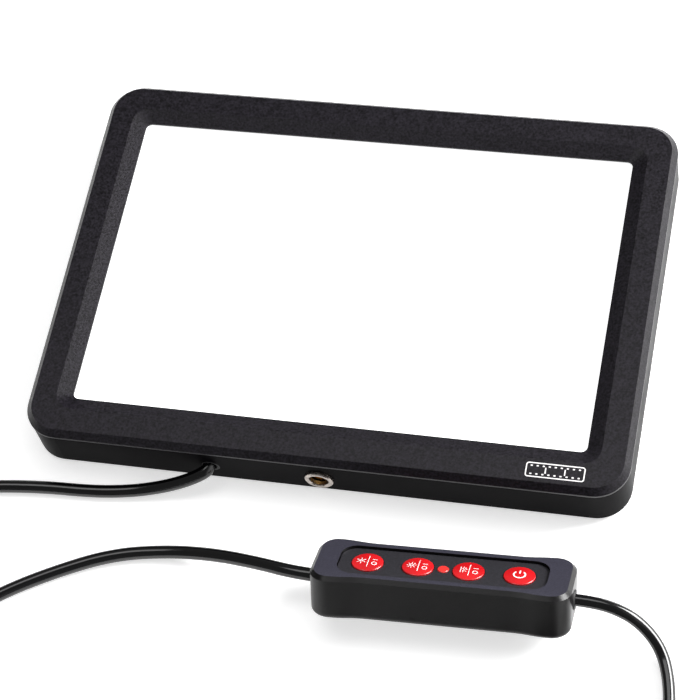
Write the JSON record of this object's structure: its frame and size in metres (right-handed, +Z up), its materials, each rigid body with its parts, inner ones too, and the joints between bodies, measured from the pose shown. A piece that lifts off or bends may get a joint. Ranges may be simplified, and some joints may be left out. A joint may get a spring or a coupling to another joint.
{
  "type": "light table",
  "caption": "Slim LED light table for viewing and copying film, with an opal window, a tripod socket, and an in-line controller with push buttons on its USB lead.",
  "frame": {"origin": "on the table under the middle of the panel, at the bottom of its rubber feet", "axes": "+Z up out of the opal window, +X to the right, -Y towards the side with the tripod socket and the cord"},
  "size_m": [0.2831, 0.2737, 0.0241],
  "materials": {
    "bezel_black": "fine-grained matt black moulding",
    "shell_black": "smooth satin black moulding",
    "opal_white": "opal acrylic, lit from behind",
    "film_white": "milky diffusion film",
    "guide_acrylic": "clear acrylic",
    "reflector_white": "white reflector sheet",
    "tape_black": "foam tape",
    "plate_aluminium": "mill-finish sheet",
    "board_white": "white solder mask",
    "board_green": "green solder mask",
    "phosphor_yellow": "LED phosphor",
    "chip_black": "epoxy",
    "screw_black": "black zinc",
    "rubber_black": "moulded rubber",
    "insert_brass": "turned brass",
    "collar_nickel": "nickel plate",
    "wire_red": "wire insulation",
    "controller_black": "satin black moulding",
    "label_black": "printed overlay film",
    "button_red": "glossy red caps",
    "lens_red": "translucent red lens",
    "cord_black": "glossy PVC sheath",
    "tie_black": "hook and loop strap",
    "plug_black": "moulded PVC grip",
    "plug_steel": "nickel-plated steel",
    "tongue_white": "insulator",
    "contact_gold": "gold flash"
  },
  "bodies": {
    "light_table": {"front_bezel": "bezel_black", "rear_shell": "shell_black", "opal_diffuser": "opal_white", "diffuser_tape": "tape_black", "diffusion_film": "film_white", "light_guide": "guide_acrylic", "reflector_sheet": "reflector_white", "back_plate": "plate_aluminium", "led_strip_near": "board_white", "led_strip_far": "board_white", "led_chips_near": "phosphor_yellow", "led_chips_far": "phosphor_yellow", "rear_screws": "screw_black", "plate_screws": "screw_black", "rubber_feet": "rubber_black", "tripod_insert": "insert_brass", "insert_collar": "collar_nickel", "cord_bush": "rubber_black", "cord_clamp": "shell_black", "wiring_board": "board_green", "wiring_board_parts": "chip_black", "inner_wires": "wire_red", "controller_top": "controller_black", "controller_base": "controller_black", "label_plate": "label_black", "controller_board": "board_green", "switch_bodies": "chip_black", "controller_board_parts": "chip_black", "status_led": "phosphor_yellow", "status_lens": "lens_red", "controller_screws": "screw_black", "bush_left": "rubber_black", "bush_right": "rubber_black", "panel_lead": "cord_black", "usb_lead": "cord_black", "usb_coil": "cord_black", "usb_tail": "cord_black", "coil_tie": "tie_black", "plug_grip": "plug_black", "plug_shell": "plug_steel", "plug_tongue": "tongue_white", "plug_contacts": "contact_gold"},
    "cool_button": {"button_cool": "button_red", "plunger_cool": "chip_black"},
    "white_button": {"button_white": "button_red", "plunger_white": "chip_black"},
    "warm_button": {"button_warm": "button_red", "plunger_warm": "chip_black"},
    "power_button": {"button_power": "button_red", "plunger_power": "chip_black"}
  },
  "joints": [
    {"name": "cool_press", "type": "slide", "parent": "light_table", "child": "cool_button", "axis": [0.0166, -0.5589, -0.829], "range_m": [0, 0.0006], "stiffness_N_per_m": 1500, "springref_m": -0.0006},
    {"name": "white_press", "type": "slide", "parent": "light_table", "child": "white_button", "axis": [0.0166, -0.5589, -0.829], "range_m": [0, 0.0006], "stiffness_N_per_m": 1500, "springref_m": -0.0006},
    {"name": "warm_press", "type": "slide", "parent": "light_table", "child": "warm_button", "axis": [0.0166, -0.5589, -0.829], "range_m": [0, 0.0006], "stiffness_N_per_m": 1500, "springref_m": -0.0006},
    {"name": "power_press", "type": "slide", "parent": "light_table", "child": "power_button", "axis": [0.0166, -0.5589, -0.829], "range_m": [0, 0.0006], "stiffness_N_per_m": 1500, "springref_m": -0.0006}
  ]
}
